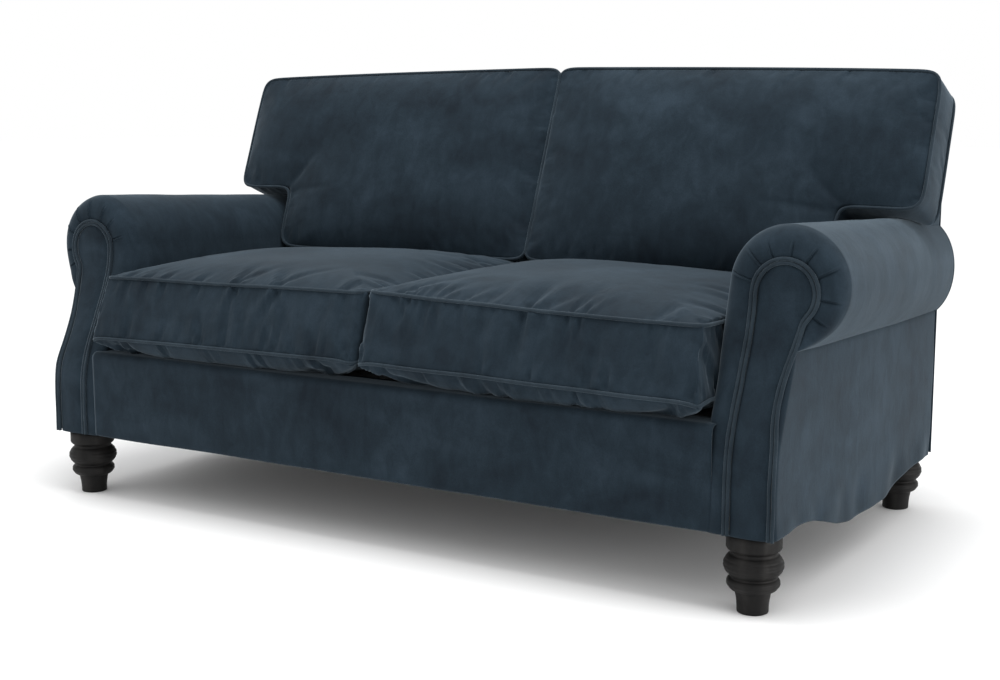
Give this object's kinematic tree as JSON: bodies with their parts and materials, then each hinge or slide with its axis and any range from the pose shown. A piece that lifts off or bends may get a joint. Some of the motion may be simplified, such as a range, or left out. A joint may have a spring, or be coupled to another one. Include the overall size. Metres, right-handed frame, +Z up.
{
  "type": "scroll arm sofa",
  "caption": "Upholstered sofa with scroll arms, loose seat and back cushions with piped edges, and turned wooden legs.",
  "frame": {"origin": "on the floor, under the middle of the overall width and depth", "axes": "+X along the seat, to the right as seen from in front; +Y from the front to the back; +Z up"},
  "size_m": [1.8314, 0.9245, 0.9238],
  "materials": {
    "velvet": "matte",
    "velvet_piping": "matte",
    "dark_wood": "satin",
    "frame_timber": "matte",
    "foam": "matte",
    "webbing": "matte",
    "lining_cloth": "matte",
    "zip_tape": "matte",
    "zip_metal": "satin",
    "spring_steel": "satin",
    "zinc_steel": "satin",
    "glide_plastic": "matte"
  },
  "bodies": {
    "frame": {"arm_cover_left": "velvet", "arm_cover_right": "velvet", "arm_double_piping_left": "velvet_piping", "arm_double_piping_right": "velvet_piping", "arm_facing_left": "velvet", "arm_facing_right": "velvet", "arm_pad_left": "foam", "arm_pad_right": "foam", "arm_posts": "frame_timber", "arm_scroll_board_left": "frame_timber", "arm_scroll_board_right": "frame_timber", "arm_top_rails": "frame_timber", "back_cover": "velvet", "back_lower_rail": "frame_timber", "back_top_rail": "frame_timber", "back_uprights": "frame_timber", "back_webbing": "webbing", "back_wing_posts": "frame_timber", "centre_seat_rail": "frame_timber", "corner_blocks": "frame_timber", "deck_cover": "lining_cloth", "deck_pad": "foam", "dust_cover": "lining_cloth", "front_rail_cover": "velvet", "front_seat_rail": "frame_timber", "inside_back_pad": "foam", "leg_bolts": "zinc_steel", "leg_front_left": "dark_wood", "leg_front_right": "dark_wood", "leg_glides": "glide_plastic", "leg_rear_left": "dark_wood", "leg_rear_right": "dark_wood", "leg_tee_nuts": "zinc_steel", "outside_arm_panel_left": "velvet", "outside_arm_panel_right": "velvet", "outside_back_panel": "velvet", "rear_seat_rail": "frame_timber", "seat_springs": "spring_steel", "side_seat_rails": "frame_timber", "spring_clips": "zinc_steel"},
    "seat_cushion_left": {"seat_cushion_cover_left": "velvet", "seat_cushion_core_left": "foam", "seat_cushion_piping_left": "velvet_piping", "seat_cushion_zip_left": "zip_tape"},
    "seat_slider_left": {"seat_zip_slider_left": "zip_metal"},
    "seat_cushion_right": {"seat_cushion_cover_right": "velvet", "seat_cushion_core_right": "foam", "seat_cushion_piping_right": "velvet_piping", "seat_cushion_zip_right": "zip_tape"},
    "seat_slider_right": {"seat_zip_slider_right": "zip_metal"},
    "back_cushion_left": {"back_cushion_cover_left": "velvet", "back_cushion_core_left": "foam", "back_cushion_piping_left": "velvet_piping", "back_cushion_zip_left": "zip_tape"},
    "back_slider_left": {"back_zip_slider_left": "zip_metal"},
    "back_cushion_right": {"back_cushion_cover_right": "velvet", "back_cushion_core_right": "foam", "back_cushion_piping_right": "velvet_piping", "back_cushion_zip_right": "zip_tape"},
    "back_slider_right": {"back_zip_slider_right": "zip_metal"}
  },
  "joints": [
    {"name": "seat_cushion_left_pull_out", "type": "slide", "parent": "frame", "child": "seat_cushion_left", "axis": [0, -1, 0], "range_m": [0, 0.6]},
    {"name": "back_cushion_left_lift", "type": "slide", "parent": "frame", "child": "back_cushion_left", "axis": [0, 0, 1], "range_m": [0, 0.45]},
    {"name": "seat_zip_left_run", "type": "slide", "parent": "seat_cushion_left", "child": "seat_slider_left", "axis": [-1, 0, 0], "range_m": [0, 0.555]},
    {"name": "back_zip_left_run", "type": "slide", "parent": "back_cushion_left", "child": "back_slider_left", "axis": [-1, 0, 0], "range_m": [0, 0.545]},
    {"name": "seat_cushion_right_pull_out", "type": "slide", "parent": "frame", "child": "seat_cushion_right", "axis": [0, -1, 0], "range_m": [0, 0.6]},
    {"name": "back_cushion_right_lift", "type": "slide", "parent": "frame", "child": "back_cushion_right", "axis": [0, 0, 1], "range_m": [0, 0.45]},
    {"name": "seat_zip_right_run", "type": "slide", "parent": "seat_cushion_right", "child": "seat_slider_right", "axis": [1, 0, 0], "range_m": [0, 0.555]},
    {"name": "back_zip_right_run", "type": "slide", "parent": "back_cushion_right", "child": "back_slider_right", "axis": [1, 0, 0], "range_m": [0, 0.545]}
  ]
}
